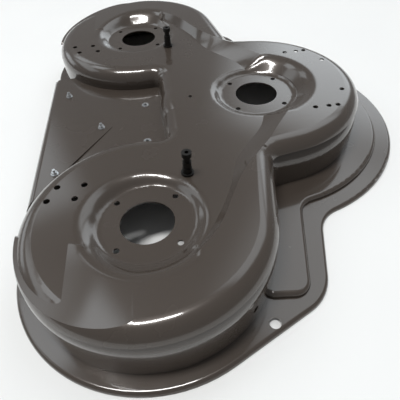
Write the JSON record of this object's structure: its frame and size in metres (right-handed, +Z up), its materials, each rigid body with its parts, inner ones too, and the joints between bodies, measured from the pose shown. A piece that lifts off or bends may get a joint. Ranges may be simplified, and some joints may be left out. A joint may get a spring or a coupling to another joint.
{
  "type": "lawn mower deck",
  "caption": "Pressed steel lawn mower deck with blade domes, sunken spindle seats, a rear recess, a ledge and flange round the rim, and idler posts.",
  "frame": {"origin": "middle of the deck's length and width, in the plane that the rim rests on", "axes": "+Z up, +Y towards the front dome, +X towards the right-hand dome"},
  "size_m": [1.1096, 0.7732, 0.1465],
  "materials": {
    "deck_paint": "gloss",
    "black_steel": "satin",
    "zinc": "satin"
  },
  "bodies": {
    "root": {"deck_shell": "deck_paint", "idler_post_right": "black_steel", "idler_post_left": "black_steel", "post_nuts": "zinc", "carriage_bolts": "zinc", "flange_nuts": "zinc", "rivet_nuts": "zinc"}
  },
  "joints": []
}
